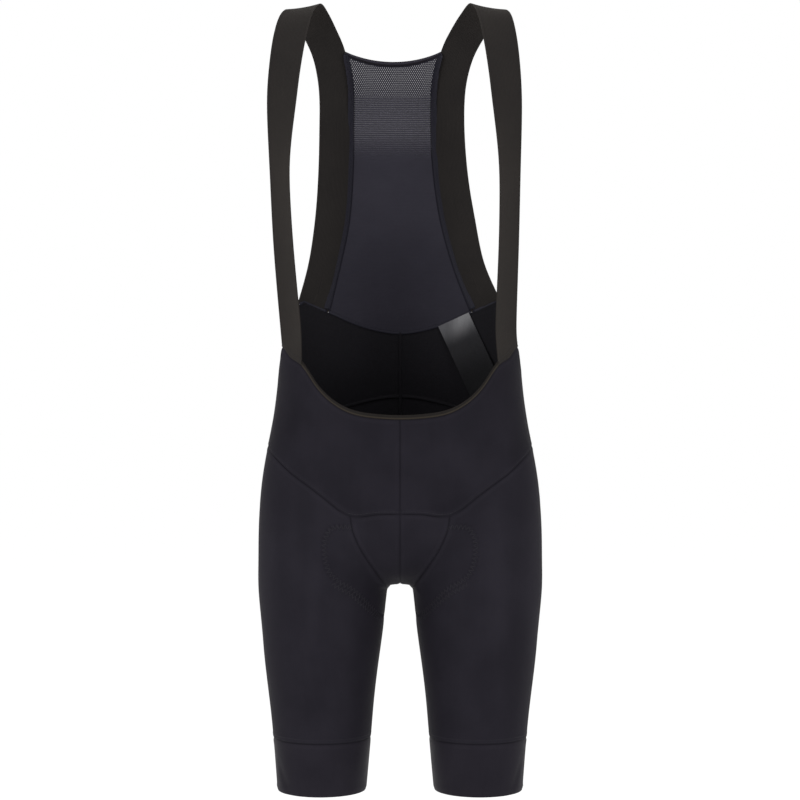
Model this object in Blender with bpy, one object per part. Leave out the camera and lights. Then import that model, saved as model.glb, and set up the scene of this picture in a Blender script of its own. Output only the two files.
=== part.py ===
"""Cycling bib shorts, filled out as if worn, with no wearer inside.

Metres, +Z up. The wearer would face -Y, so the wearer's left is +X.
Heights in the tables are above the leg hems. An empty lowers the whole garment, so that the
origin is on its middle plane, level with the undersides of the straps at the shoulders.

A cage of rings round the trunk and legs follows the seams. One subdivision makes it smooth,
and each panel is the cage's faces between its seams, given the thickness of its cloth.
"""

import math
from collections import namedtuple

import bpy
import numpy as np
from mathutils import Vector
from mathutils.bvhtree import BVHTree


def table(columns, rows):
    """Rows whose values are read by the names of their columns."""
    row_type = namedtuple("Row", columns)
    return [row_type(*row) for row in rows]


SHOULDER_HEIGHT = 0.914
SEAM_GAP = 0.0003
LYCRA_THICKNESS = 0.0012
CUFF_THICKNESS = 0.0016
STRAP_THICKNESS = 0.0016
MESH_THICKNESS = 0.0010
TAPE_THICKNESS = 0.0018
TAPE_HEIGHT = 0.0045
TAPE_PROUD = 0.0003
TAPE_END_GAP = 0.0008
LABEL_THICKNESS = 0.0010

# The trunk from the hips to the armpits: an ellipse at each height above the hems.
TRUNK_SECTIONS = table("height half_width front back", (
    (0.300, 0.1665, 0.098, 0.119),
    (0.340, 0.1640, 0.103, 0.120),
    (0.380, 0.1585, 0.105, 0.117),
    (0.420, 0.1505, 0.105, 0.110),
    (0.455, 0.1450, 0.103, 0.103),
    (0.490, 0.1415, 0.100, 0.097),
    (0.530, 0.1425, 0.099, 0.094),
    (0.570, 0.1475, 0.100, 0.094),
    (0.620, 0.1535, 0.103, 0.098),
    (0.690, 0.1610, 0.110, 0.104),
    (0.760, 0.1750, 0.112, 0.108),
    (0.820, 0.1880, 0.104, 0.106),
    (0.880, 0.2020, 0.080, 0.097),
))

# Each leg from the crotch to the hem: an ellipse between these sides at each height.
LEG_SECTIONS = table("height inner outer front back", (
    (0.2330, 0.0145, 0.1650, -0.0940, 0.1020),
    (0.1930, 0.0190, 0.1622, -0.0895, 0.0945),
    (0.1500, 0.0250, 0.1578, -0.0845, 0.0875),
    (0.1060, 0.0302, 0.1527, -0.0800, 0.0815),
    (0.0615, 0.0340, 0.1480, -0.0765, 0.0770),
    (0.0000, 0.0395, 0.1433, -0.0710, 0.0710),
))
CUFF_SEAM_RING = 4
CROTCH_HEIGHT = 0.2405
CROTCH_ROUNDING = 2.5

# The cage's lines down one half of the garment, from the centre front to the centre back.
# "waist" and "seam" are angles round the trunk in degrees at the top edge and at the seam
# under the waist panels. "top" and "low" are the heights of that edge and of that seam.
LINES = table("waist top seam low", (
    (0.0, 0.4325, 0.0, 0.3245),
    (11.0, 0.4340, 10.0, 0.3243),
    (22.0, 0.4390, 20.0, 0.3220),
    (33.0, 0.4525, 30.0, 0.3390),
    (43.5, 0.4730, 40.0, 0.3555),
    (53.0, 0.4945, 50.0, 0.3685),
    (63.5, 0.5035, 60.0, 0.3810),
    (74.0, 0.5165, 70.0, 0.3905),
    (82.0, 0.5010, 80.0, 0.3970),
    (91.0, 0.4885, 90.0, 0.4020),
    (101.0, 0.4990, 100.0, 0.4065),
    (112.0, 0.5270, 110.0, 0.4120),
    (124.0, 0.5680, 120.0, 0.4200),
    (134.0, 0.5670, 130.0, 0.4285),
    (144.0, 0.5600, 140.0, 0.4370),
    (153.0, 0.5510, 150.0, 0.4445),
    (162.0, 0.5430, 160.0, 0.4510),
    (171.0, 0.5375, 170.0, 0.4565),
    (180.0, 0.5350, 180.0, 0.4590),
))
LAST_LINE = len(LINES) - 1
CUP_LINE = 2
STRAP_FRONT_LINES = (5, 6, 7)
SIDE_LINE = 9
STRAP_BACK_LINES = (12, 13, 14)
WAIST_ROWS = 3
SEAT_ROWS = 6

# How far a cage line keeps its direction below the seam and above the crotch, as a share of
# its length. A line near the centre arrives level, and the next ones turn down step by step.
SEAM_REACH = 1.05
CROTCH_REACH = 1.15
LEVEL_REACH = 0.35
LEVEL_TURN = math.radians(32.0)

# How firmly the free points of the cage keep their first place while it is made to bend
# evenly, and how often and how far it is moved until the smooth form meets the tables.
FIRST_PLACE_HOLD = 0.12
FIT_ROUNDS = 6
FIT_STEP = 0.8

# A strap from its front seam, over the shoulder, to its back seam: where its outer and inner
# edges pass, and how far behind the shoulder line its middle lies. On the back, where that is
# None, it lies on the trunk. Its width sets how far one edge lies behind the other. The shifts
# are how much nearer the neck the wearer's left strap lies than the right one.
STRAP_WIDTH = 0.040
STRAP_CROWN = 0.0012
STRAP_STATIONS = table("outer_x outer_height inner_x inner_height depth outer_shift inner_shift", (
    (0.1385, 0.5430, 0.1140, 0.5400, -0.049, 0.0040, 0.0042),
    (0.1455, 0.6300, 0.1220, 0.6300, -0.056, 0.0087, 0.0090),
    (0.1498, 0.7200, 0.1260, 0.7200, -0.064, 0.0112, 0.0128),
    (0.1526, 0.7950, 0.1185, 0.7950, -0.067, 0.0127, 0.0130),
    (0.1497, 0.8450, 0.1125, 0.8430, -0.060, 0.0121, 0.0127),
    (0.1450, 0.8800, 0.1060, 0.8820, -0.044, 0.0113, 0.0120),
    (0.1390, 0.9030, 0.1000, 0.9070, -0.020, 0.0102, 0.0112),
    (0.1312, 0.9118, 0.0925, 0.9198, 0.010, 0.0097, 0.0107),
    (0.1240, 0.9040, 0.0850, 0.9135, 0.042, 0.0115, 0.0122),
    (0.1140, 0.8860, 0.0755, 0.8965, 0.066, 0.0143, 0.0150),
    (0.1040, 0.8630, 0.0640, 0.8690, 0.083, 0.0167, 0.0168),
    (0.0980, 0.8280, 0.0575, 0.8300, 0.0945, 0.0188, 0.0181),
    (0.0973, 0.7800, 0.0568, 0.7800, None, 0.0192, 0.0184),
    (0.0985, 0.7250, 0.0580, 0.7250, None, 0.0163, 0.0162),
    (0.1020, 0.6720, 0.0625, 0.6680, None, 0.0116, 0.0120),
    (0.1095, 0.6180, 0.0740, 0.6110, None, 0.0082, 0.0076),
))
ROWS_PER_STATION = 2
TOP_STATION = 7
NECK_STATION = 10
NECK_DIP = 0.0105

# The seat pad: its half width, measured along the cloth, at stations along the rise. These
# run from its front edge, past the crotch at 0, to its back edge.
PAD_STATIONS = table("rise half_width", (
    (-0.130, 0.052),
    (-0.108, 0.074),
    (-0.080, 0.082),
    (-0.050, 0.074),
    (-0.020, 0.060),
    (0.015, 0.058),
    (0.055, 0.070),
    (0.100, 0.088),
    (0.140, 0.090),
    (0.175, 0.074),
    (0.197, 0.048),
))
PAD_ROWS = 19
PAD_HALF_COLUMNS = 9
PAD_WALK = 0.003
PAD_CLEARANCE = 0.0022
PAD_SIDE_TAPER, PAD_END_TAPER = 2.5, 4
PAD_EDGE = 0.0020
PAD_CENTRE = 0.0090

LABEL_SIZE = (0.040, 0.092)
LABEL_CORNER = (0.046, 0.543)
LABEL_LEAN = math.radians(24.5)
LABEL_ROWS, LABEL_COLUMNS = 7, 4
LABEL_CLEARANCE = 0.0006
LABEL_SWING = 0.0060

# The colour and roughness of each kind of cloth.
CLOTHS = {
    "lycra": ((0.020, 0.019, 0.026), 0.62),
    "elastic": ((0.018, 0.015, 0.013), 0.72),
    "net": ((0.040, 0.039, 0.052), 0.70),
    "tape": ((0.024, 0.019, 0.016), 0.60),
    "foam": ((0.012, 0.012, 0.014), 0.85),
    "satin": ((0.120, 0.120, 0.130), 0.35),
}
SHARP_EDGE = math.radians(50)


def clear_scene():
    """Starts from an empty scene."""
    for old in list(bpy.data.objects):
        bpy.data.objects.remove(old)


def fabric(name):
    """The plain material of one kind of cloth."""
    colour, roughness = CLOTHS[name]
    material = bpy.data.materials.get(name) or bpy.data.materials.new(name)
    material.use_nodes = True
    shader = material.node_tree.nodes["Principled BSDF"]
    shader.inputs["Base Color"].default_value = (*colour, 1.0)
    shader.inputs["Roughness"].default_value = roughness
    return material


def smooth_rows(rows, knots, at):
    """Reads rows of values at any places, along cubic curves through the rows' own places."""
    knots = np.asarray(knots, float)
    values = np.asarray(rows, float)
    slopes = np.gradient(values, knots, axis=0)
    at = np.clip(np.atleast_1d(at), knots[0], knots[-1])
    low = np.clip(np.searchsorted(knots, at, side="right") - 1, 0, len(knots) - 2)
    step = (knots[low + 1] - knots[low])[:, None]
    f = ((at - knots[low])[:, None]) / step
    return (
        (2 * f**3 - 3 * f**2 + 1) * values[low]
        + (f**3 - 2 * f**2 + f) * step * slopes[low]
        + (3 * f**2 - 2 * f**3) * values[low + 1]
        + (f**3 - f**2) * step * slopes[low + 1]
    )


def trunk_sizes(height):
    """Half width, front depth and back depth of the trunk at a height."""
    sizes = [(row.half_width, row.front, row.back) for row in TRUNK_SECTIONS]
    return smooth_rows(sizes, [row.height for row in TRUNK_SECTIONS], height)[0]


def trunk_point(angle, height):
    """A point of the trunk: 0 degrees is the centre front and 180 the centre back."""
    half_width, front, back = trunk_sizes(height)
    turn = math.radians(angle)
    depth = front if math.cos(turn) > 0 else back
    return np.array([half_width * math.sin(turn), -depth * math.cos(turn), height])


def trunk_depth(x, height, side):
    """Where the trunk's front or back lies at a distance from the centre."""
    half_width, front, back = trunk_sizes(height)
    share = math.sqrt(max(0.0, 1 - (x / half_width) ** 2))
    return -front * share if side == "front" else back * share


def leg_point(step, ring):
    """A point of the left leg's ring, in equal steps from its inner side through the front."""
    leg = LEG_SECTIONS[ring]
    turn = 2 * math.pi * step / leg_steps()
    x = (leg.inner + leg.outer) / 2 - (leg.outer - leg.inner) / 2 * math.cos(turn)
    y = (leg.front + leg.back) / 2 - (leg.back - leg.front) / 2 * math.sin(turn)
    return np.array([x, y, leg.height])


def leg_steps():
    """How many cage lines run round one leg."""
    return LAST_LINE - 2 * CUP_LINE


def hermite(start, end, leave, arrive, f):
    """A point along a smooth curve with given tangents at its two ends."""
    return (
        (2 * f**3 - 3 * f**2 + 1) * start
        + (f**3 - 2 * f**2 + f) * leave
        + (3 * f**2 - 2 * f**3) * end
        + (f**3 - f**2) * arrive
    )


def crotch_point(line):
    """Where a cage line ends at the crotch: on the strip between the legs, or on a leg."""
    from_centre = min(line, LAST_LINE - line)
    if from_centre >= CUP_LINE:
        return leg_point(line - CUP_LINE, 0)
    edge = leg_point(0, 0)
    share = from_centre / CUP_LINE
    drop = (CROTCH_HEIGHT - edge[2]) * share**CROTCH_ROUNDING
    return np.array([edge[0] * share, edge[1], CROTCH_HEIGHT - drop])


def rise_tangents(line):
    """Where a cage line leaves the seam under the waist, and its two end tangents."""
    edge = LINES[line]
    start = trunk_point(edge.seam, edge.low)
    below = trunk_point(edge.seam, edge.low - 0.01) - start
    slope = below / np.linalg.norm(below)
    length = float(np.linalg.norm(crotch_point(line) - start))
    step = max(0, min(line, LAST_LINE - line) - CUP_LINE)
    level = max(0.0, math.cos(step * LEVEL_TURN))
    into = np.array([0.0, level if line < SIDE_LINE else -level, -math.sqrt(1 - level)])
    into /= np.linalg.norm(into)
    reach = CROTCH_REACH + LEVEL_REACH * level
    return start, slope * length * SEAM_REACH, into * length * reach


def faired(points, faces, fixed):
    """Moves the points that aren't fixed so that the cage bends evenly between the others."""
    keys = list(points)
    place = {key: i for i, key in enumerate(keys)}
    neighbours = {key: set() for key in keys}
    touching = dict.fromkeys(keys, 0)
    for _, quad in faces:
        for a, b in zip(quad, quad[1:] + quad[:1]):
            neighbours[a].add(b)
            neighbours[b].add(a)
            touching[a] += 1
    inside = [key for key in keys if touching[key] == len(neighbours[key])]
    bend = np.zeros((len(inside), len(keys)))
    for row, key in enumerate(inside):
        bend[row, place[key]] = -1
        for other in neighbours[key]:
            bend[row, place[other]] = 1 / len(neighbours[key])
    start = np.array([points[key] for key in keys])
    free = [place[key] for key in keys if not fixed(key)]
    held = np.setdiff1d(np.arange(len(keys)), free)
    matrix = np.vstack([bend[:, free], FIRST_PLACE_HOLD * np.eye(len(free))])
    wanted = np.vstack([-bend[:, held] @ start[held], FIRST_PLACE_HOLD * start[free]])
    start[free] = np.linalg.lstsq(matrix, wanted, rcond=None)[0]
    return dict(zip(keys, start))


def half_cage():
    """Points of the cage for the left half, by name of block, row and line, and its faces."""
    points, faces = {}, []
    for row in range(WAIST_ROWS + 1):
        share = row / WAIST_ROWS
        for line, edge in enumerate(LINES):
            angle = edge.waist + (edge.seam - edge.waist) * share
            height = edge.top + (edge.low - edge.top) * share
            points["waist", row, line] = trunk_point(angle, height)
    for row in range(1, SEAT_ROWS + 1):
        for line in range(LAST_LINE + 1):
            start, leave, arrive = rise_tangents(line)
            end = crotch_point(line)
            points["seat", row, line] = hermite(start, end, leave, arrive, row / SEAT_ROWS)
    for ring in range(1, len(LEG_SECTIONS)):
        for step in range(leg_steps()):
            points["leg", ring, step] = leg_point(step, ring)

    def seat(row, line):
        if row == 0:
            return ("waist", WAIST_ROWS, line)
        if row == SEAT_ROWS and line > LAST_LINE - CUP_LINE - 1:
            return ("seat", row, LAST_LINE - line)
        return ("seat", row, line)

    def leg(ring, step):
        step %= leg_steps()
        return seat(SEAT_ROWS, step + CUP_LINE) if ring == 0 else ("leg", ring, step)

    for line in range(LAST_LINE):
        panel = "front_panel" if line < SIDE_LINE else "back_panel"
        for row in range(WAIST_ROWS):
            quad = [("waist", row, line), ("waist", row + 1, line)]
            quad += [("waist", row + 1, line + 1), ("waist", row, line + 1)]
            faces.append((panel, quad))
        panel = "cup" if line < CUP_LINE else "leg"
        for row in range(SEAT_ROWS):
            quad = [seat(row, line), seat(row + 1, line)]
            quad += [seat(row + 1, line + 1), seat(row, line + 1)]
            faces.append((panel, quad))
    for ring in range(len(LEG_SECTIONS) - 1):
        panel = "leg" if ring < CUFF_SEAM_RING else "cuff"
        for step in range(leg_steps()):
            quad = [leg(ring, step), leg(ring + 1, step)]
            quad += [leg(ring + 1, step + 1), leg(ring, step + 1)]
            faces.append((panel, quad))
    for key in [k for k in points if k[0] == "seat" and k != seat(k[1], k[2])]:
        del points[key]

    def fixed(key):
        block, row, line = key
        if block == "waist":
            return True
        if block == "leg":
            return row > 1 or line == 0
        on_profile = line in (0, SIDE_LINE, LAST_LINE)
        return on_profile or (row == SEAT_ROWS and line <= CUP_LINE)

    return faired(points, faces, fixed), faces


class Form:
    """The whole smooth form of the shorts: both halves, subdivided once."""

    def __init__(self):
        points, faces = half_cage()
        self.index, targets, quads, self.face_panel = {}, [], [], []
        for side in (1, -1):
            for key, point in points.items():
                on_centre = abs(point[0]) < 1e-9
                if side == -1 and on_centre:
                    self.index[side, key] = self.index[1, key]
                    continue
                self.index[side, key] = len(targets)
                targets.append(point * (side, 1, 1))
            for panel, quad in faces:
                corners = [self.index[side, key] for key in quad]
                quads.append(corners if side == 1 else corners[::-1])
                self.face_panel += [(panel, side)] * 4
        self.cage_size = len(targets)
        self.subdivide(np.array(targets), quads)
        self.inseam = self.inseam_edges()

    def subdivide(self, targets, quads):
        """Moves the cage until the subdivided form passes through its target points."""
        mesh = bpy.data.meshes.new("cage")
        mesh.from_pydata(targets.tolist(), [], quads)
        cage = bpy.data.objects.new("cage", mesh)
        bpy.context.scene.collection.objects.link(cage)
        modifier = cage.modifiers.new("smooth", "SUBSURF")
        modifier.levels = modifier.render_levels = 1
        modifier.boundary_smooth = "PRESERVE_CORNERS"
        moved = targets.copy()
        for _ in range(FIT_ROUNDS):
            mesh.vertices.foreach_set("co", moved.astype(np.float32).ravel())
            mesh.update()
            bpy.context.view_layer.update()
            smooth = cage.evaluated_get(bpy.context.evaluated_depsgraph_get()).data
            points = np.array([v.co for v in smooth.vertices])
            moved += FIT_STEP * (targets - points[: len(targets)])
        self.points = points
        self.quads = [tuple(p.vertices) for p in smooth.polygons]
        self.normals = np.array([v.normal for v in smooth.vertices])
        self.edge_middle = {
            frozenset(e.vertices): self.cage_size + e.index for e in mesh.edges
        }
        bpy.data.objects.remove(cage)
        bpy.data.meshes.remove(mesh)

    def chain(self, side, keys):
        """The smooth form's points along a run of neighbouring cage points."""
        found = [self.index[side, keys[0]]]
        for a, b in zip(keys, keys[1:]):
            pair = frozenset((self.index[side, a], self.index[side, b]))
            found += [self.edge_middle[pair], self.index[side, b]]
        return found

    def inseam_edges(self):
        """The edges down each inner leg, where the leg and cuff pieces are sewn shut."""
        edges = set()
        for side in (1, -1):
            keys = [("seat", SEAT_ROWS, CUP_LINE)]
            keys += [("leg", ring, 0) for ring in range(1, len(LEG_SECTIONS))]
            run = self.chain(side, keys)
            edges |= {frozenset(pair) for pair in zip(run, run[1:])}
        return edges

    def panel(self, name, side):
        """One panel's own points, normals and quads, cut apart at its seams."""
        chosen = [q for q, tag in zip(self.quads, self.face_panel) if tag == (name, side)]
        return cut_at_seams(chosen, self.points, self.normals, self.inseam)


def cut_at_seams(quads, points, normals, seams):
    """Copies the quads' points so that faces on two sides of a seam don't share any."""
    parent = {(f, v): (f, v) for f, quad in enumerate(quads) for v in quad}

    def root(item):
        while parent[item] != item:
            item = parent[item]
        return item

    sides = {}
    for f, quad in enumerate(quads):
        for a, b in zip(quad, quad[1:] + quad[:1]):
            sides.setdefault(frozenset((a, b)), []).append(f)
    for edge, touching in sides.items():
        if len(touching) == 2 and edge not in seams:
            for v in edge:
                parent[root((touching[0], v))] = root((touching[1], v))
    copies = {}
    own_quads = []
    for f, quad in enumerate(quads):
        own_quads.append(tuple(copies.setdefault(root((f, v)), len(copies)) for v in quad))
    source = [item[1] for item in copies]
    return points[source], normals[source], own_quads


def border_edges(quads):
    """The directed edges that only one quad has."""
    edges = [(a, b) for quad in quads for a, b in zip(quad, quad[1:] + quad[:1])]
    known = set(edges)
    return [(a, b) for a, b in edges if (b, a) not in known]


def drawn_in(points, normals, quads, distance):
    """Moves the border points into the panel, along the cloth, by a distance."""
    inward = np.zeros_like(points)
    for a, b in border_edges(quads):
        along = points[b] - points[a]
        for v in (a, b):
            across = np.cross(normals[v], along)
            inward[v] += across / np.linalg.norm(across)
    length = np.linalg.norm(inward, axis=1)
    border = length > 1e-9
    moved = points.copy()
    moved[border] += inward[border] / length[border, None] * distance
    return moved


def cloth_wall(name, kind, points, normals, quads, thickness, raised=0.0):
    """A closed wall of cloth. Its outer face holds the points and its inner face lies inside."""
    points = drawn_in(points, normals, quads, SEAM_GAP / 2)
    outer = points + normals * raised
    inner = points - normals * (np.reshape(thickness, (-1, 1)) - raised)
    count = len(points)
    faces = [tuple(q) for q in quads]
    faces += [tuple(v + count for v in reversed(q)) for q in quads]
    faces += [(b, a, a + count, b + count) for a, b in border_edges(quads)]
    mesh = bpy.data.meshes.new(name)
    mesh.from_pydata(np.vstack([outer, inner]).tolist(), [], faces)
    mesh.shade_smooth()
    mesh.set_sharp_from_angle(angle=SHARP_EDGE)
    mesh.materials.append(fabric(kind))
    piece = bpy.data.objects.new(name, mesh)
    bpy.context.scene.collection.objects.link(piece)
    piece.parent = bpy.data.objects["shoulder_line"]
    return piece


def grid_quads(rows, columns):
    """Quads of a grid whose points run along each row in turn."""
    return [
        (r * columns + c, r * columns + c + 1, (r + 1) * columns + c + 1, (r + 1) * columns + c)
        for r in range(rows - 1)
        for c in range(columns - 1)
    ]


def grid_normals(grid):
    """Normals of a grid of points, to the left of its rows as they go up."""
    down = np.gradient(grid, axis=0)
    across = np.gradient(grid, axis=1)
    normals = np.cross(across, down)
    return normals / np.linalg.norm(normals, axis=2, keepdims=True)


def grid_wall(name, kind, grid, thickness, normals=None, raised=0.0):
    """A wall of cloth from a grid of points."""
    rows, columns = grid.shape[:2]
    normals = grid_normals(grid) if normals is None else normals
    thickness = np.broadcast_to(thickness, (rows, columns)).ravel()
    flat = grid.reshape(-1, 3)
    quads = grid_quads(rows, columns)
    return cloth_wall(name, kind, flat, normals.reshape(-1, 3), quads, thickness, raised)


def strap_edges(side):
    """A strap's two edges at each station: outer points and inner points."""
    outer, inner = [], []
    for number, at in enumerate(STRAP_STATIONS):
        outer_x = at.outer_x - (at.outer_shift if side > 0 else 0)
        inner_x = at.inner_x - (at.inner_shift if side > 0 else 0)
        if at.depth is None:
            outer_y = trunk_depth(outer_x, at.outer_height, "back")
            inner_y = trunk_depth(inner_x, at.inner_height, "back")
        else:
            seen = (outer_x - inner_x) ** 2 + (at.outer_height - at.inner_height) ** 2
            turn = math.sqrt(max(0.0, STRAP_WIDTH**2 - seen)) / 2
            turn *= 1 if number < TOP_STATION else -1
            outer_y, inner_y = at.depth + turn, at.depth - turn
        outer.append((side * outer_x, outer_y, at.outer_height))
        inner.append((side * inner_x, inner_y, at.inner_height))
    return np.array(outer), np.array(inner)


def strap_grid(form, side):
    """The strap's points: a row at each step of its length, from the inner edge outwards."""
    base = form.points[form.chain(side, [("waist", 0, line) for line in STRAP_FRONT_LINES])]
    yoke = form.points[form.chain(side, [("waist", 0, line) for line in STRAP_BACK_LINES])][::-1]
    outer, inner = strap_edges(side)
    outer = np.vstack([base[-1], outer, yoke[-1]])
    inner = np.vstack([base[0], inner, yoke[0]])
    knots = np.arange(len(outer), dtype=float)
    at = np.linspace(0, knots[-1], (len(knots) - 1) * ROWS_PER_STATION + 1)
    both = smooth_rows(np.hstack([outer, inner]), knots, at)
    across = np.linspace(0, 1, len(base))[:, None]
    grid = both[:, None, 3:] * (1 - across) + both[:, None, :3] * across
    grid += side * grid_normals(grid) * -STRAP_CROWN * 4 * across * (1 - across)
    for row, ends in ((0, base), (-1, yoke)):
        offset = ends - grid[row]
        for step in range(ROWS_PER_STATION):
            grid[step if row == 0 else -1 - step] += offset * (1 - step / ROWS_PER_STATION) ** 2
    return grid


def neck_row():
    """The strap row that the back panel's top edge meets, counted from the back seam."""
    return (len(STRAP_STATIONS) - NECK_STATION) * ROWS_PER_STATION


def back_grid(form, straps):
    """The back panel's points: rows from the waist seam up, from the right to the left."""
    lines = [("waist", 0, line) for line in range(LAST_LINE, STRAP_BACK_LINES[-1] - 1, -1)]
    left = form.points[form.chain(1, lines)]
    seam = np.vstack([(left * (-1, 1, 1))[:0:-1], left])
    across = np.linspace(-1, 1, len(seam))
    rows = []
    for row in range(neck_row() + 1):
        right_edge, left_edge = straps[-1][-1 - row, 0], straps[1][-1 - row, 0]
        share = row / neck_row()
        dip = (1 - share) * (left[-1][2] - left[0][2]) + share * NECK_DIP
        line = []
        for u in across:
            x, _, height = (right_edge * (1 - u) + left_edge * (1 + u)) / 2
            height -= dip * (1 - u * u)
            line.append((x, trunk_depth(x, height, "back"), height))
        line = np.array(line)
        line[:, 1] += (right_edge - line[0])[1] * np.clip(-across, 0, 1) ** 3
        line[:, 1] += (left_edge - line[-1])[1] * np.clip(across, 0, 1) ** 3
        rows.append(line)
    grid = np.array(rows)
    offset = seam - grid[0]
    for row in range(ROWS_PER_STATION):
        grid[row] += offset * (1 - row / ROWS_PER_STATION) ** 2
    for row in range(neck_row() + 1):
        grid[row, 0] = straps[-1][-1 - row, 0]
        grid[row, -1] = straps[1][-1 - row, 0]
    return grid


def draw_in_ends(band):
    """Shortens a band at both ends, so that it stays clear of the straps."""
    share = TAPE_END_GAP / np.linalg.norm(band[0, 0] - band[0, 1])
    for end, neighbour in ((0, 1), (-1, -2)):
        band[:, end] += (band[:, neighbour] - band[:, end]) * share


def build_upper(form):
    """The straps, the knitted back panel sewn between them, and the binding on its top edge."""
    straps = {side: strap_grid(form, side) for side in (1, -1)}
    facing = {side: grid_normals(grid) * -side for side, grid in straps.items()}
    back = back_grid(form, straps)
    normals = grid_normals(back)
    for side, column in ((1, -1), (-1, 0)):
        for row in range(len(back)):
            shared = normals[row, column] + facing[side][-1 - row, 0]
            shared /= np.linalg.norm(shared)
            normals[row, column] = facing[side][-1 - row, 0] = shared
    for side, word in ((1, "left"), (-1, "right")):
        way = slice(None, None, -side)
        grid, out = straps[side][:, way], facing[side][:, way]
        grid_wall(f"strap_{word}", "elastic", grid, STRAP_THICKNESS, out)
    grid_wall("back_mesh", "net", back, MESH_THICKNESS, normals)
    rise = back[-1] - back[-2]
    rise /= np.linalg.norm(rise, axis=1, keepdims=True)
    binding = np.stack([back[-1], back[-1] + rise * TAPE_HEIGHT])
    draw_in_ends(binding)
    tops = np.stack([normals[-1], normals[-1]])
    grid_wall("neck_binding", "tape", binding, TAPE_THICKNESS, tops, raised=TAPE_PROUD)


def build_front_tape(form):
    """The elastic tape along the front edge, between the two straps."""
    keys = [("waist", 0, line) for line in range(STRAP_FRONT_LINES[0] + 1)]
    run = form.chain(1, keys)
    other = form.chain(-1, keys)
    order = other[::-1] + run[1:]
    low = form.points[order]
    high = low + (0.0, 0.0, TAPE_HEIGHT)
    high[:, 1] = [trunk_depth(x, z, "front") for x, _, z in high]
    band = np.stack([low, high])
    draw_in_ends(band)
    normals = np.stack([form.normals[order], form.normals[order]])
    grid_wall("front_tape", "tape", band, TAPE_THICKNESS, normals, raised=TAPE_PROUD)


def build_label():
    """The blank care label, sewn in below the back waist seam and hanging inside the back."""
    width, length = LABEL_SIZE
    across_way = np.array([math.cos(LABEL_LEAN), math.sin(LABEL_LEAN)])
    down_way = np.array([math.sin(LABEL_LEAN), -math.cos(LABEL_LEAN)])
    grid = []
    for f in np.linspace(0, 1, LABEL_ROWS):
        line = []
        for u in np.linspace(0, 1, LABEL_COLUMNS):
            x, height = LABEL_CORNER + across_way * width * u + down_way * length * f
            away = LYCRA_THICKNESS + LABEL_CLEARANCE + LABEL_SWING * f
            line.append((x, trunk_depth(x, height, "back") - away, height))
        grid.append(line)
    grid_wall("care_label", "satin", np.array(grid), LABEL_THICKNESS)


def rise_curve(form):
    """The rise from the front, under the crotch and up the back, as points on the centre."""
    front = [("waist", WAIST_ROWS, 0)] + [("seat", row, 0) for row in range(1, SEAT_ROWS + 1)]
    back = [("seat", row, LAST_LINE) for row in range(SEAT_ROWS - 1, 0, -1)]
    back += [("waist", WAIST_ROWS, LAST_LINE)]
    run = form.chain(1, front + back)
    points = form.points[run]
    lengths = np.concatenate([[0], np.cumsum(np.linalg.norm(np.diff(points, axis=0), axis=1))])
    crotch = lengths[2 * (len(front) - 1)]
    return lengths - crotch, points


def walk(walls, start, way, lengths):
    """Walks straight on over a surface, and gives its points at these lengths."""
    spot, normal, _, _ = walls.find_nearest(Vector(start))
    way = Vector(way)
    spots, walked = [], 0.0
    for length in lengths:
        while walked < length - 1e-9:
            step = min(PAD_WALK, length - walked)
            way = (way - normal * way.dot(normal)).normalized()
            there, normal, _, _ = walls.find_nearest(spot + way * step)
            way = (there - spot).normalized()
            spot = there
            walked += step
        spots.append(np.array(spot))
    return np.array(spots)


def build_pad(form):
    """The foam seat pad inside the crotch, thin at its edges and thick along its middle."""
    inside = form.points - form.normals * (LYCRA_THICKNESS + PAD_CLEARANCE)
    left_half = [q for q in form.quads if sum(form.points[v][0] for v in q) > 0]
    walls = BVHTree.FromPolygons([Vector(p) for p in inside], left_half)
    at, centre = rise_curve(form)
    rise = [row.rise for row in PAD_STATIONS]
    stations = np.linspace(rise[0], rise[-1], PAD_ROWS)
    widths = smooth_rows([[row.half_width] for row in PAD_STATIONS], rise, stations)[:, 0]
    shares = np.linspace(0, 1, PAD_HALF_COLUMNS + 1)
    across = np.concatenate([shares[:0:-1], shares])
    grid, thickness = [], []
    for station, width in zip(stations, widths):
        middle = [np.interp(station, at, centre[:, axis]) for axis in range(3)]
        left = walk(walls, middle, (1, 0, 0), shares * width)
        left[0, 0] = 0
        grid.append(np.vstack([left[:0:-1], left * (-1, 1, 1)]))
        along = 2 * (station - rise[0]) / (rise[-1] - rise[0]) - 1
        body = (1 - across**PAD_SIDE_TAPER) * (1 - along**PAD_END_TAPER)
        thickness.append(PAD_EDGE + (PAD_CENTRE - PAD_EDGE) * np.clip(body, 0, 1))
    grid_wall("seat_pad", "foam", np.array(grid), np.array(thickness))


def build_panels(form):
    """The cut pieces of the shorts, on both sides."""
    pieces = (
        ("front_panel", "lycra", LYCRA_THICKNESS),
        ("back_panel", "lycra", LYCRA_THICKNESS),
        ("cup", "lycra", LYCRA_THICKNESS),
        ("leg", "lycra", LYCRA_THICKNESS),
        ("cuff", "elastic", CUFF_THICKNESS),
    )
    for side, word in ((1, "left"), (-1, "right")):
        for name, kind, thickness in pieces:
            points, normals, quads = form.panel(name, side)
            cloth_wall(f"{name}_{word}", kind, points, normals, quads, thickness)


def build():
    """The whole garment."""
    clear_scene()
    line = bpy.data.objects.new("shoulder_line", None)
    line.location = (0.0, 0.0, -SHOULDER_HEIGHT)
    bpy.context.scene.collection.objects.link(line)
    form = Form()
    build_panels(form)
    build_upper(form)
    build_front_tape(form)
    build_label()
    build_pad(form)


build()
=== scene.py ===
import math

import bmesh
import bpy
import numpy as np
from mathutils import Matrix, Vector
from mathutils.bvhtree import BVHTree
from mathutils.kdtree import KDTree


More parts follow.
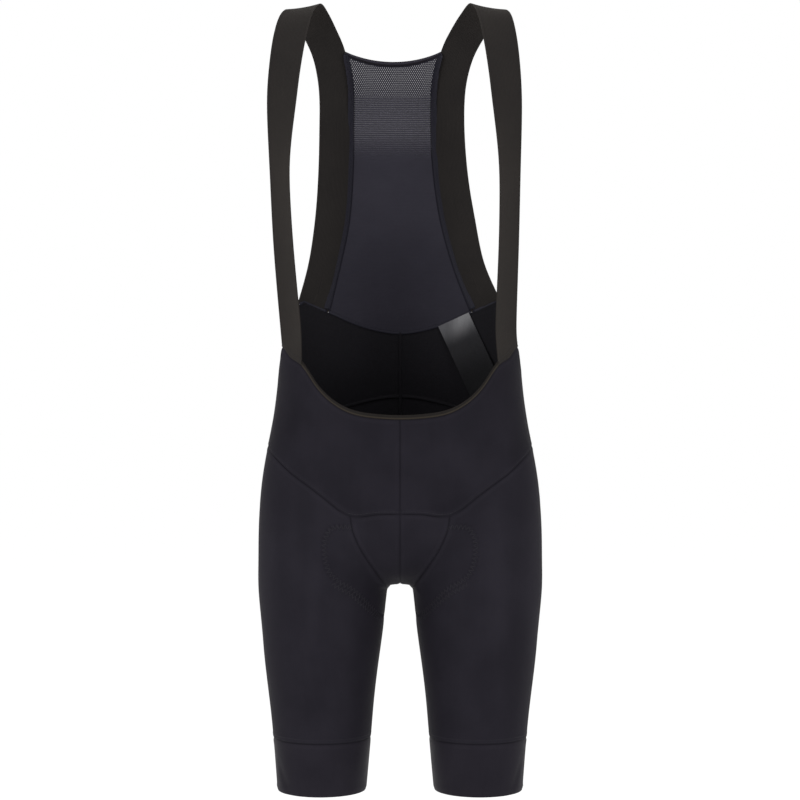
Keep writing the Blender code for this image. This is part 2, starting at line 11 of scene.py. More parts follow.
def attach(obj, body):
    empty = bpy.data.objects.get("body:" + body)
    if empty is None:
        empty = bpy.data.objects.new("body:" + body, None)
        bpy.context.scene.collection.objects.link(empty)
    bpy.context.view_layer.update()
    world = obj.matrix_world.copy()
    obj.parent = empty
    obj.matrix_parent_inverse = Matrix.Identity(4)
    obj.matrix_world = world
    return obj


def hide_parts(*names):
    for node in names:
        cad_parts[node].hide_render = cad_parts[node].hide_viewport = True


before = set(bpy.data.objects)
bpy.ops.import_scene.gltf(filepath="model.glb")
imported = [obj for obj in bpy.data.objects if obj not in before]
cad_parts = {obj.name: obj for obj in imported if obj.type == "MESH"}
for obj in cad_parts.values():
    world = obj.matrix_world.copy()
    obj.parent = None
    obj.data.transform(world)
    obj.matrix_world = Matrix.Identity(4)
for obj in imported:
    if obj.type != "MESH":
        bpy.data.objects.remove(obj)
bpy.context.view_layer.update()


# FRONT PANELS
# Two belly panels of dense stretch knit, sewn to each other down the middle and to the
# cups, legs, side seams and straps round about. The knit is a smooth warp knit with a
# satin face, and every seam is overlocked inside and pulls the cloth down a little.

SHOULDER_HEIGHT = 0.914  # the shoulders' height above the hems, so z is a height less this
SIDES = ("left", "right")
KNIT_WALL = 0.0009
BODY_MIDDLE = Vector((0, 0, -0.4))
SAME_PLACE = 1e-5  # points this close are one point
RIM_HEIGHT = 0.0021  # more than any solid is thick, and less than any other edge
CORNER = math.radians(140)  # a free edge that bends more sharply keeps its corner
FIT_ROUNDS = 7
LINE_STEP = 0.0005  # between the points of a line that distances are measured from
SEAM_DIP, SEAM_SWELL, SEAM_BAND = 0.00030, 0.00030, 0.0034
ROW_DIP, ROW_HALF = 0.00042, 0.0042  # how a row sewn through the cloth pulls it in

# Soft troughs in the worn cloth: two ends (x, y, height), half width and depth, all in mm.
# A negative depth is a ridge.
SOFT_FOLDS = (
    (( 30, -92, 318), ( 92, -98, 352), 13, 0.50),
    (( 22, -88, 300), ( 78, -97, 300), 12, -0.35),
    (( 30, -70, 246), ( 80, -90, 262), 11, 0.55),
    ((-28, -92, 320), (-84, -99, 346), 12, 0.45),
    ((-24, -86, 296), (-82, -97, 306), 14, -0.30),
    ((-32, -72, 242), (-88, -88, 270), 10, 0.60),
    ((126, -84, 436), (132, -74, 350), 15, -0.80),
    ((136, -50, 400), (152, -6, 420), 14, 0.40),
    ((-112, -76, 428), (-148, -16, 432), 18, 0.40),
    (( 24,  60, 236), ( 74,  92, 226), 12, 0.95),
    (( 30,  70, 214), ( 98,  88, 214), 14, 0.70),
    ((-26,  58, 238), (-70,  94, 222), 11, 0.90),
    ((-34,  70, 210), (-92,  90, 218), 15, 0.65),
    (( 60,  98, 300), (128,  70, 284), 20, 0.50),
    ((-64,  97, 296), (-124,  72, 290), 18, 0.55),
    (( 96, -84, 150), (100, -72,  84), 15, 0.35),
    ((-84, -84, 160), (-98, -74,  96), 17, 0.40),
    (( 64,  70,  92), (116,  72, 104), 12, 0.50),
    ((-60,  70,  98), (-112,  74,  92), 14, 0.45),
    ((-139, -34,  32), (-124, -52,   2),  7, 1.10),
    (( 139, -34,  34), ( 126, -50,   3),  7, 1.00),
    ((-95, -90, 352), (-99, -80, 176),  9, -0.60),
    ((114, -86, 350), (112, -80, 180), 15, -0.65),
    (( 58, -96, 402), ( 84, -95, 366), 15, -0.50),
    ((-141, -46, 305), (-138, -44, 215), 16, -0.45),
    (( 74, -96, 343), (118, -88, 382), 13, -0.95),
    ((-124, -80, 432), (-114, -86, 378), 12, -0.60),
    ((-124, -68, 338), (-117, -64, 205),  9, -0.50),
    ((-152,  -8, 330), (-142,  -8, 180), 42, -1.00),
    (( 154,  -8, 330), ( 144,  -8, 180), 42, -1.60),
)


def fold_lift(points):
    """How far the soft troughs and ridges lift each point of the cloth."""
    lift = np.zeros(len(points))
    for start, end, half_width, depth in SOFT_FOLDS:
        a, b = (np.array((x, y, z - 1000 * SHOULDER_HEIGHT)) / 1000 for x, y, z in (start, end))
        run = b - a
        along = np.clip((points - a) @ run / (run @ run), 0, 1)
        away = np.linalg.norm(points - a - along[:, None] * run, axis=1) * 1000 / half_width
        faded = 1 - 0.55 * (2 * along - 1) ** 2  # toward both ends
        lift -= depth / 1000 * np.exp(-away ** 2) * faded
    return lift


def solid_form(node):
    """A copy of a node's solid, with its points merged."""
    form = bmesh.new()
    form.from_mesh(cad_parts[node].data)
    bmesh.ops.remove_doubles(form, verts=form.verts, dist=SAME_PLACE)
    return form


def in_quads(form):
    bmesh.ops.join_triangles(form, faces=form.faces, angle_face_threshold=math.radians(40),
                             angle_shape_threshold=math.radians(60))
    return form


def in_scene(name, data):
    made = bpy.data.objects.new(name, data)
    bpy.context.scene.collection.objects.link(made)
    return made


def piece_of(form, name):
    """The form as an object's mesh."""
    mesh = bpy.data.meshes.new(name)
    form.to_mesh(mesh)
    form.free()
    return in_scene(name, mesh)


def outer_face(node):
    """A node's outer face in quads, without its rim and its inner face."""
    form = solid_form(node)
    rim = {f for f in form.faces if min(edge.calc_length() for edge in f.edges) < RIM_HEIGHT}
    left, faces = set(form.faces) - rim, []
    while left:
        todo, same = [left.pop()], []
        while todo:
            face = todo.pop()
            same.append(face)
            for other in {other for edge in face.edges for other in edge.link_faces} & left:
                left.discard(other)
                todo.append(other)
        faces.append(same)
    form.normal_update()
    outer = set(max(faces, key=lambda same: sum(
        face.calc_area() * face.normal.dot(face.calc_center_median() - BODY_MIDDLE) for face in same)))
    bmesh.ops.delete(form, geom=[f for f in form.faces if f not in outer], context="FACES")
    return in_quads(form)


def cut_open(form):
    """Marks a seam up the inner side of a tube, so that it can be laid flat."""
    rim = [v for v in form.verts if v.is_boundary]
    low = min(v.co.z for v in rim)
    here = min((v for v in rim if v.co.z < low + 0.01), key=lambda v: abs(v.co.x))
    while True:
        up = max(here.link_edges, key=lambda e: (e.other_vert(here).co - here.co).normalized().z)
        up.seam = True
        here = up.other_vert(here)
        if here.is_boundary:
            return


def laid_flat(form, name, tube, lengthways):
    """The form as an object whose UV map is the cloth laid flat, in metres, with v up the
    body, or along the longest way of a strip."""
    if tube:
        cut_open(form)
    piece = piece_of(form, name)
    mesh = piece.data
    bpy.context.view_layer.objects.active = piece
    bpy.ops.object.mode_set(mode="EDIT")
    bpy.ops.mesh.select_all(action="SELECT")
    bpy.ops.uv.unwrap(method="ANGLE_BASED", margin=0)
    bpy.ops.object.mode_set(mode="OBJECT")
    flat = numbers(mesh.uv_layers.active.data, "uv", 2)
    area, shown = 0.0, sum(face.area for face in mesh.polygons)
    for face in mesh.polygons:
        x, y = flat[list(face.loop_indices)].T
        area += abs(np.dot(x, np.roll(y, -1)) - np.dot(y, np.roll(x, -1))) / 2
    flat = (flat - flat.mean(0)) * math.sqrt(shown / area)
    if lengthways:
        way = np.linalg.svd(flat, full_matrices=False)[2][0]
    else:
        height = np.array([mesh.vertices[loop.vertex_index].co.z for loop in mesh.loops])
        way = np.linalg.lstsq(flat, height - height.mean(), rcond=None)[0]
    way /= np.linalg.norm(way)
    flat = np.column_stack([flat @ (way[1], -way[0]), flat @ way])
    mesh.uv_layers.active.data.foreach_set("uv", flat.ravel())
    return piece


def plain_mesh(piece):
    """Turns the piece's modifiers into its mesh."""
    graph = bpy.context.evaluated_depsgraph_get()
    made = bpy.data.meshes.new_from_object(
        piece.evaluated_get(graph), preserve_all_data_layers=True, depsgraph=graph)
    piece.modifiers.clear()
    old, piece.data = piece.data, made
    bpy.data.meshes.remove(old)
    return made


def numbers(data, key, size):
    """One property of each of a mesh's parts, as an array with size columns."""
    found = np.zeros(len(data) * size)
    data.foreach_get(key, found)
    return found.reshape(-1, size) if size > 1 else found


def smooth_through(piece, levels):
    """Subdivides the piece so that its smooth form passes through the points that it had,
    and keeps the sharp corners of its free edge."""
    corners = piece.data.attributes.new("crease_vert", "FLOAT", "POINT")
    form = bmesh.new()
    form.from_mesh(piece.data)
    for vert in form.verts:
        rim = [edge for edge in vert.link_edges if edge.is_boundary]
        if len(rim) == 2:
            one, two = (edge.other_vert(vert).co - vert.co for edge in rim)
            corners.data[vert.index].value = float(one.angle(two, math.pi) < CORNER)
    form.free()
    finer = piece.modifiers.new("finer", "SUBSURF")
    finer.levels = finer.render_levels = 1
    finer.boundary_smooth = "PRESERVE_CORNERS"
    wanted = numbers(piece.data.vertices, "co", 3)
    control = wanted.copy()
    for _ in range(FIT_ROUNDS):
        made = piece.evaluated_get(bpy.context.evaluated_depsgraph_get()).data
        missed = wanted - numbers(made.vertices, "co", 3)[:len(wanted)]
        control += missed
        piece.data.vertices.foreach_set("co", control.ravel())
        piece.data.update()
        piece.update_tag()
    finer.levels = finer.render_levels = levels


def rim_rings(mesh):
    """The vertices round each free edge of a sheet, in order."""
    uses = np.zeros(len(mesh.edges), int)
    np.add.at(uses, numbers(mesh.loops, "edge_index", 1).astype(int), 1)
    beside = {}
    for a, b in numbers(mesh.edges, "vertices", 2).astype(int)[uses == 1].tolist():
        beside.setdefault(a, []).append(b)
        beside.setdefault(b, []).append(a)
    rings = []
    while beside:
        ring, here = [], next(iter(beside))
        while here in beside:
            ring.append(here)
            ways = beside.pop(here)
            here = next((way for way in ways if way in beside), None)
        rings.append(ring)
    return rings


def unit(rows):
    return rows / np.linalg.norm(rows, axis=1)[:, None]


def run_along(points):
    """How far along a line each of its points is."""
    return np.concatenate([[0], np.cumsum(np.linalg.norm(np.diff(points[:, :3], axis=0), axis=1))])


def spaced(points, step=LINE_STEP, ring=False):
    """A line's points again, evenly spaced and about a step apart."""
    points = np.array(points, float)
    if ring:
        points = np.vstack([points, points[:1]])
    run = run_along(points)
    at = np.linspace(0, run[-1], max(2, round(run[-1] / step) + 1))
    return np.column_stack([np.interp(at, run, points[:, k]) for k in range(points.shape[1])])


def tree_of(points):
    """The points, to find the nearest of them in."""
    near = KDTree(len(points))
    for i, point in enumerate(points):
        near.insert(point, i)
    near.balance()
    return near


def distances(points, lines):
    """How far each point is from the nearest point of the lines."""
    near = tree_of(np.vstack(lines))
    return np.array([near.find(point)[2] for point in points])


def surface_of(mesh, points):
    """The mesh's faces, with its vertices at those points, to find the nearest place on."""
    return BVHTree.FromPolygons(points.tolist(), [tuple(face.vertices) for face in mesh.polygons])


def seam_lift(away):
    """The cloth's rise beside a seam: down at the stitches, then up over the allowance."""
    dip = np.exp(-(away / 0.0016) ** 2)
    swell = np.exp(-((away - SEAM_BAND) / 0.0019) ** 2)
    return SEAM_SWELL * swell - SEAM_DIP * dip


def long_sides(ring):
    """The two long sides of a strip's edge, which has four sharp corners."""
    runs = unit(np.roll(ring, -1, 0) - ring)
    turns = (runs * np.roll(runs, 1, 0)).sum(1)
    corners = sorted(np.argsort(turns)[:4])
    parts = [np.take(ring, range(a, b + 1), axis=0, mode="wrap")
             for a, b in zip(corners, corners[1:] + [corners[0] + len(ring)])]
    return sorted(parts, key=lambda part: run_along(part)[-1])[2:]


def sewn_through(mesh, points, line):
    """For each point, how far it is from a line sewn through the cloth, and how far along."""
    surface = surface_of(mesh, points)
    near = tree_of(spaced([surface.find_nearest(place)[0] for place in line]))
    found = [near.find(point) for point in points]
    return np.array([f[2] for f in found]), np.array([f[1] * LINE_STEP for f in found])


def keep_numbers(mesh, name, values):
    """Keeps a number for each point of the mesh, which a material can read."""
    mesh.attributes.new(name, "FLOAT", "POINT").data.foreach_set("value", values)


def smooth_with_sharp_rims(mesh):
    mesh.shade_smooth()
    form = bmesh.new()
    form.from_mesh(mesh)
    for edge in form.edges:
        if len(edge.link_faces) == 2:
            edge.smooth = edge.calc_face_angle(0) < math.radians(40)
    form.to_mesh(mesh)
    form.free()


CLOTH = {}  # for each sewn piece, its outer face and the free edges of that


def sewn_cloth(node, name, wall, levels, finishes, lift=seam_lift,
               folds=True, tube=False, lengthways=False, through=None):
    """A piece of cloth on its solid's outer face: subdivided, creased, sunk at its seams, with the
    cloth's own thickness inwards. The finishes are the outer face's and the inner face's."""
    piece = laid_flat(outer_face(node), name, tube, lengthways)
    smooth_through(piece, levels)
    mesh = plain_mesh(piece)
    points, normals = numbers(mesh.vertices, "co", 3), numbers(mesh.vertices, "normal", 3)
    rings = rim_rings(mesh)
    away = distances(points, [spaced(points[ring], ring=True) for ring in rings])
    up = lift(away) if lift else np.zeros(len(points))
    if folds:
        folded = fold_lift(points)
        up = up + folded
        # The fold heights are kept for the knit's colour: painted highlight over the ridges, painted
        # shade in the troughs.
        keep_numbers(mesh, "folded", 1000 * folded)
    if through is not None:
        beside, run = sewn_through(mesh, points, through)
        up = up - ROW_DIP * np.exp(-(beside / ROW_HALF) ** 2)
        keep_numbers(mesh, "from_row", beside)
        keep_numbers(mesh, "row_run", run)
    if lengthways:
        sides = [spaced(side) for side in long_sides(points[rings[0]])]
        keep_numbers(mesh, "from_side", distances(points, sides))
    points = points + normals * up[:, None]
    mesh.vertices.foreach_set("co", points.ravel())
    keep_numbers(mesh, "from_seam", away)
    mesh.update()
    normals = numbers(mesh.vertices, "normal", 3)
    CLOTH[name] = {"rings": [(points[ring], normals[ring]) for ring in rings],
                   "surface": surface_of(mesh, points)}
    walled = piece.modifiers.new("wall", "SOLIDIFY")
    walled.thickness, walled.offset, walled.use_even_offset = wall, -1, True
    walled.use_quality_normals = True
    walled.material_offset = len(finishes) - 1
    mesh.materials.clear()
    for finish in finishes:
        mesh.materials.append(finish)
    mesh = plain_mesh(piece)
    smooth_with_sharp_rims(mesh)
    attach(piece, "root")
    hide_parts(node)


class Mix:
    """A number in a material, so that what is worked out from it reads as a sum."""

    def __init__(self, tree, socket):
        self.tree, self.socket = tree, socket

    def node(self, kind, inputs, out=0, **settings):
        made = self.tree.nodes.new(kind)
        for key, value in settings.items():
            setattr(made, key, value)
        for key, value in inputs.items():
            if isinstance(value, Mix):
                self.tree.links.new(value.socket, made.inputs[key])
            else:
                made.inputs[key].default_value = value
        return Mix(self.tree, made.outputs[out])

    def math(self, operation, a, b=0.0, c=0.0):
        return self.node("ShaderNodeMath", {0: a, 1: b, 2: c}, operation=operation)

    def __add__(self, other): return self.math("ADD", self, other)
    def __radd__(self, other): return self.math("ADD", other, self)
    def __sub__(self, other): return self.math("SUBTRACT", self, other)
    def __rsub__(self, other): return self.math("SUBTRACT", other, self)
    def __mul__(self, other): return self.math("MULTIPLY", self, other)
    def __rmul__(self, other): return self.math("MULTIPLY", other, self)
    def __truediv__(self, other): return self.math("DIVIDE", self, other)
    def __rtruediv__(self, other): return self.math("DIVIDE", other, self)
    def __abs__(self): return self.math("ABSOLUTE", self)
    def __mod__(self, other): return self.math("FLOORED_MODULO", self, other)
    def wave(self, pitch): return self.math("SINE", self * (2 * math.pi / pitch))
    def least(self, other): return self.math("MINIMUM", self, other)
    def most(self, other): return self.math("MAXIMUM", self, other)
    def above(self, other): return self.math("GREATER_THAN", self, other)

    def eased(self, low, high, start=0.0, end=1.0):
        """From start to end as this goes from low to high, smoothly."""
        return self.node("ShaderNodeMapRange", {"Value": self, "From Min": low, "From Max": high,
                         "To Min": start, "To Max": end}, interpolation_type="SMOOTHSTEP")

    def noise(self, where, size, detail=2.0):
        return self.node("ShaderNodeTexNoise", {"Vector": where, "Scale": 1 / size, "Detail": detail})

    def times(self, factors):
        """A place with each of its three numbers multiplied."""
        return self.node("ShaderNodeVectorMath", {0: self, 1: factors}, operation="MULTIPLY")

    def colours(self, first, second):
        """The first colour where this is 0, and the second where it is 1."""
        return self.node("ShaderNodeMix", {"Factor": self, 6: first, 7: second}, out=2, data_type="RGBA")


class Finish(Mix):
    """A material: it gives the places on the cloth, and links sums to the shader's sockets."""

    def __init__(self, name, **plain):
        self.material = bpy.data.materials.new(name)
        self.material.use_nodes = True
        self.tree = self.material.node_tree
        self.shader = self.tree.nodes["Principled BSDF"]
        for key, value in plain.items():
            self.shader.inputs[key.replace("_", " ")].default_value = value
        self.place = self.node("ShaderNodeTexCoord", {}, out="Object")
        flat = self.node("ShaderNodeUVMap", {}, uv_map="UVMap")
        parts = self.node("ShaderNodeSeparateXYZ", {0: flat}).socket.node.outputs
        self.flat, self.across, self.along = flat, Mix(self.tree, parts[0]), Mix(self.tree, parts[1])
        places = self.node("ShaderNodeSeparateXYZ", {0: self.place}).socket.node.outputs
        self.x, self.y, self.height = (Mix(self.tree, p) for p in places)

    def attribute(self, name):
        return self.node("ShaderNodeAttribute", {}, out="Fac", attribute_name=name)

    def dress(self, **varying):
        for key, value in varying.items():
            self.tree.links.new(value.socket, self.shader.inputs[key.replace("_", " ")])

    def relief(self, height, depth, strength):
        self.dress(Normal=self.node("ShaderNodeBump", {"Height": height, "Distance": depth,
                                                       "Strength": strength}))


def stretch_knit(name, dark, light, roughness, pitch=0.0007, row=False, hem=False):
    """Smooth warp knit: columns of fine loops, a satin face and a slight unevenness. Its colour has a
    painted highlight over each seam's allowance and painted shade along each seam line, in the puckers of
    a sewn row and in the troughs of the soft folds, with a painted highlight over their ridges."""
    knit = Finish(name, Specular_IOR_Level=0.014, Sheen_Weight=0.006, Sheen_Roughness=0.35,
                  Sheen_Tint=(1.0, 0.80, 0.62, 1))
    columns = abs(knit.across.wave(2 * pitch))
    loops = (knit.along + 0.5 * pitch * columns).wave(pitch * 1.3)
    cloudy = knit.noise(knit.place, 0.05, 3.0)
    streaks = knit.noise(knit.flat.times((1.0, 0.12, 1.0)), 0.006, 3.0)
    fine = knit.noise(knit.place, 0.0016)
    seam = knit.attribute("from_seam")
    # Painted highlight over each seam's allowance; painted shade along the seam line itself is taken off
    # below.
    band = seam.eased(0.0012, 0.0030) * seam.eased(0.0046, 0.0066, 1.0, 0.0)
    plain = abs(knit.x).eased(0.004, 0.009, 0.45, 1.0)  # the painted seam highlight and shade are weaker at the middle seams
    # The folds' term is painted highlight over ridges and painted shade in troughs.
    shade = (cloudy.eased(0.3, 0.7, 0.20, 0.62) + 0.20 * (fine - 0.5) + 0.25 * (streaks - 0.5)
             + (0.22 * band - seam.eased(0.0002, 0.0015, 0.75, 0.0)) * plain
             + 0.6 * knit.attribute("folded").most(-0.5).least(0.8))
    height = 0.55 * columns + 0.30 * loops + 0.5 * fine
    if row:
        beside, run = knit.attribute("from_row"), knit.attribute("row_run")
        pulls = run.wave(0.0050) * beside.eased(0.0035, 0.0052, 1.0, 0.0)
        # Painted shade in the puckers between the stitches and along the row's dip.
        shade = shade - 0.45 * pulls.most(0.0) - 0.05 * beside.eased(0.002, 0.007, 1.0, 0.0)
        height = height + 1.5 * pulls
    if hem:
        edge = seam.eased(0.0030, 0.0035) * seam.eased(0.0038, 0.0043, 1.0, 0.0)
        edge = edge * (knit.height + SHOULDER_HEIGHT).eased(0.02, 0.03, 1.0, 0.0)
        shade, height = shade - 0.5 * edge, height - 2.0 * edge
    knit.dress(Base_Color=shade.least(1.0).most(0.0).colours(dark, light),
               Roughness=cloudy.eased(0.3, 0.7, roughness - 0.03, roughness + 0.04))
    knit.relief(height, 0.00012, 0.5)
    return knit.material


def knit_inside():
    """The knit's inner face: matt and brushed, and coloured darker as painted shade inside the garment.
    """
    knit = Finish("knit_inside", Specular_IOR_Level=0.03, Sheen_Weight=0.01, Sheen_Roughness=0.6,
                  Roughness=0.85)
    fine = knit.noise(knit.place, 0.0014)
    rows = knit.along.wave(0.0011)
    shade = (fine + 0.15 * rows).least(1.0).most(0.0)
    # Dark colours: painted shade for the garment's inside.
    knit.dress(Base_Color=shade.colours((0.0040, 0.0038, 0.0047, 1), (0.0088, 0.0083, 0.0100, 1)))
    knit.relief(fine + 0.3 * rows, 0.0002, 0.5)
    return knit.material


LYCRA = stretch_knit("lycra", (0.0082, 0.0075, 0.0102, 1), (0.0130, 0.0118, 0.0159, 1), 0.56)
# The pouch's knit is the belly's, coloured a little lighter as painted light.
POUCH_KNIT = stretch_knit("pouch_knit", (0.0092, 0.0084, 0.0114, 1), (0.0142, 0.0129, 0.0172, 1), 0.56)
INSIDE = knit_inside()

for side in SIDES:
    sewn_cloth(f"front_panel_{side}", f"belly_panel_{side}", KNIT_WALL, 3, (LYCRA, INSIDE))


# CUP
# The pouch between the legs at the front: two small panels of the same knit, sewn to each
# other down the middle, to the belly panels on top and to the legs at the sides.

for side in SIDES:
    sewn_cloth(f"cup_{side}", f"pouch_{side}", KNIT_WALL, 3, (POUCH_KNIT, INSIDE))


# LEGS AND SEAT
# Each leg is one wrap of knit round the thigh that also covers half of the seat. Its inseam
# closes it on the inner side, and the two meet under the crotch and at the middle back.

# The pad's edge under the wearer's left leg (x, y, height in mm), from the front round to the
# middle back, where the zigzag that holds the pad goes through the cloth.
PAD_EDGE = (
    (46, -90, 311), (62, -88, 311), (77, -84, 309), (85, -80, 296), (86, -78, 281), (84, -77, 267),
    (79, -75, 255), (69, -73, 246), (57, -68, 239), (48, -60, 230), (38, -48, 219), (30, -30, 208),
    (28, -8, 203), (31, 18, 205), (38, 48, 222), (50, 70, 242), (66, 84, 262), (82, 88, 288),
    (88, 89, 322), (80, 92, 348), (66, 94, 364), (42, 98, 376), (20, 102, 379), (4, 106, 379),
)


def curved(points, steps=8):
    """A smooth line through the points."""
    points = np.array(points, float)
    padded = np.vstack([2 * points[0] - points[1], points, 2 * points[-1] - points[-2]])
    line = []
    for a, b, c, d in zip(padded, padded[1:], padded[2:], padded[3:]):
        for t in np.arange(steps) / steps:
            line.append(0.5 * (2 * b + (c - a) * t + (2 * a - 5 * b + 4 * c - d) * t * t
                               + (3 * b - a - 3 * c + d) * t ** 3))
    return np.array(line + [points[-1]])


def pad_edge(side):
    turned = 1 if side == "left" else -1
    return curved(PAD_EDGE) / 1000 * (turned, 1, 1) - (0, 0, SHOULDER_HEIGHT)


# The legs' knit is the belly's, coloured a little lighter as painted light.
LEG_KNIT = stretch_knit("leg_knit", (0.0092, 0.0084, 0.0114, 1), (0.0138, 0.0126, 0.0168, 1), 0.56,
                        row=True)

for side in SIDES:
    sewn_cloth(f"leg_{side}", f"leg_wrap_{side}", KNIT_WALL, 3, (LEG_KNIT, INSIDE),
               through=pad_edge(side))


# BACK PANELS
# The small of the back: two panels of the same knit between the seat's arched seam and the
# net, sewn together down the spine.

for side in SIDES:
    sewn_cloth(f"back_panel_{side}", f"back_yoke_{side}", KNIT_WALL, 3, (LYCRA, INSIDE))


# HEM BANDS
# A wide raw-edged band of firmer knit round each leg, seamed on top, with a bonded grip line
# just above its cut edge.

CUFF_WALL = 0.0012


def deep_seam_lift(away):
    """The rise beside a seam with a firm band: it bites in and shows in the outline."""
    swell = np.exp(-((away - 0.0045) / 0.0024) ** 2)
    return 0.0004 * swell - 0.0006 * np.exp(-(away / 0.0019) ** 2)


BAND_KNIT = stretch_knit("hem_band_knit", (0.0098, 0.0088, 0.0119, 1), (0.0142, 0.0128, 0.0170, 1),
                         0.44, pitch=0.0010, hem=True)

for side in SIDES:
    sewn_cloth(f"cuff_{side}", f"hem_band_{side}", CUFF_WALL, 3, (BAND_KNIT, INSIDE),
               lift=deep_seam_lift, tube=True)


# STRAPS
# Two 40 mm elastic straps with a fine ribbed face and a woven selvedge, each one length from
# the front panel over the shoulder to the back panel.

STRAP_WALL = 0.0013
PROUD = 0.0009  # how far the straps' and the net's solids stand above the panels beside them


def level_lift(away):
    """The cloth laid so much deeper that it's level with the panels that it is sewn to."""
    return np.full(len(away), -PROUD)


def ribbed_elastic():
    """Matt woven elastic: fine ribs along it, a closer selvedge at each edge."""
    strap = Finish("ribbed_elastic", Specular_IOR_Level=0.05, Sheen_Weight=0.02,
                   Sheen_Roughness=0.6, Sheen_Tint=(1.0, 0.85, 0.70, 1), Roughness=0.75)
    side = strap.attribute("from_side")
    ribs = side.wave(0.0016) * side.eased(0.0026, 0.0032)
    picks = strap.along.wave(0.0009)
    selvedge = side.eased(0.0022, 0.0027, 1.0, 0.0)
    # The groove is also coloured darker, as painted shade in it.
    groove = side.eased(0.0022, 0.0026) * side.eased(0.0028, 0.0033, 1.0, 0.0)
    fine = strap.noise(strap.place, 0.0012)
    cloudy = strap.noise(strap.place, 0.04)
    # Painted light: the front part of each strap is coloured lighter.
    front = strap.y.eased(-0.07, 0.03, 1.0, 0.0) * strap.height.eased(-0.20, -0.05, 1.0, 0.0)
    shade = (0.32 + 0.22 * ribs + 0.4 * (fine - 0.5) + 0.4 * (cloudy - 0.5) + 0.30 * front
             + 0.10 * selvedge - 0.5 * groove).least(1.0).most(0.0)
    strap.dress(Base_Color=shade.colours((0.0080, 0.0073, 0.0074, 1), (0.0170, 0.0147, 0.0134, 1)))
    strap.relief(0.6 * ribs + 0.25 * picks + 0.4 * fine + 0.5 * selvedge - 0.6 * groove, 0.00022, 0.6)
    return strap.material


ELASTIC = ribbed_elastic()
for side in SIDES:
    sewn_cloth(f"strap_{side}", f"shoulder_strap_{side}", STRAP_WALL, 2, (ELASTIC,),
               lift=level_lift, folds=False, lengthways=True)


# BACK NET
# One length of warp knit between the straps. It is an open net at the top, closes to fine
# ribs half way down and is dense at the small of the back.

def graded_net():
    net = Finish("graded_net", Specular_IOR_Level=0.04, Sheen_Weight=0.01, Sheen_Roughness=0.5,
                 Roughness=0.62)
    rise = net.height + SHOULDER_HEIGHT
    # Each of these is 0 on a thread or a rib, and 0.5 in the middle of a hole or a slit.
    one, two = (abs((net.x / 0.0025 + net.height / pitch) % 1.0 - 0.5) for pitch in (0.0043, -0.0043))
    line, dot = abs((net.height / 0.0026) % 1.0 - 0.5), abs((net.x / 0.0021) % 1.0 - 0.5)
    open_net = rise.above(0.8215)  # above this height the net has holes, and below it slits
    # Under the neck binding the net is caught flat, so it has no holes there.
    # Along all its sewn edges the net is also coloured darker, as painted shade where the binding, straps
    # and yoke meet it.
    caught = net.attribute("from_seam").eased(0.0016, 0.0022)
    holes = one.least(two).eased(0.24, 0.42) * open_net * rise.eased(0.815, 0.850, 0.62, 0.78) * caught
    slits = line.eased(0.22, 0.40) * (0.6 + 0.4 * dot) * rise.eased(0.732, 0.782) * (1.0 - open_net)
    fine, cloudy = net.noise(net.place, 0.0014), net.noise(net.place, 0.03)
    # Painted light: the ribbed and open parts are coloured lighter for the light that shows through the
    # net. The slits are darker, and the dense part is darker towards the foot.
    ribbed = rise.eased(0.735, 0.795) * rise.eased(0.818, 0.824, 1.0, 0.0)
    dense = rise.eased(0.600, 0.700, 0.40, 0.60)
    shade = (dense + 0.42 * ribbed - 0.15 * ribbed * line.eased(0.1, 0.4) + 0.22 * open_net
             + 0.16 * (fine - 0.5) + 0.14 * (cloudy - 0.5)) * caught.eased(0.0, 1.0, 0.25, 1.0)
    net.dress(Base_Color=shade.least(1.0).most(0.0).colours((0.0050, 0.0046, 0.0078, 1),
                                                            (0.0300, 0.0284, 0.0375, 1)),
              Alpha=1.0 - holes - 0.34 * slits)
    courses = net.height.wave(0.0016)
    net.relief(0.3 * courses - line * ribbed - one.least(two) * open_net, 0.0003, 0.6)
    return net.material


NET_WALL = 0.0006
NET = graded_net()
sewn_cloth("back_mesh", "back_net", NET_WALL, 3, (NET,),
           lift=level_lift, folds=False)


# NECK BINDING AND FRONT TAPE
# A folded tape closes the top edge of the net, and another the top edge of the belly panels.

def folded_tape(name, dark, light, lit_from, lit_to):
    """A dark tape with a painted highlight between two distances from the edge of the cloth in it."""
    tape = Finish(name, Specular_IOR_Level=0.05, Roughness=0.6, Sheen_Weight=0.02,
                  Sheen_Tint=(1.0, 0.8, 0.6, 1))
    across = tape.attribute("from_edge")
    fine = tape.noise(tape.place, 0.0012)
    lit = across.eased(lit_from, lit_from + 0.0006) * across.eased(lit_to, lit_to + 0.0006, 1.0, 0.0)
    fibres = (0.25 * (fine - 0.5) + 0.15).most(0.0)
    tape.dress(Base_Color=fibres.colours(lit.colours(dark, light), (0.03, 0.026, 0.024, 1)))
    tape.relief(fine + 1.5 * lit, 0.0002, 0.5)
    return tape.material


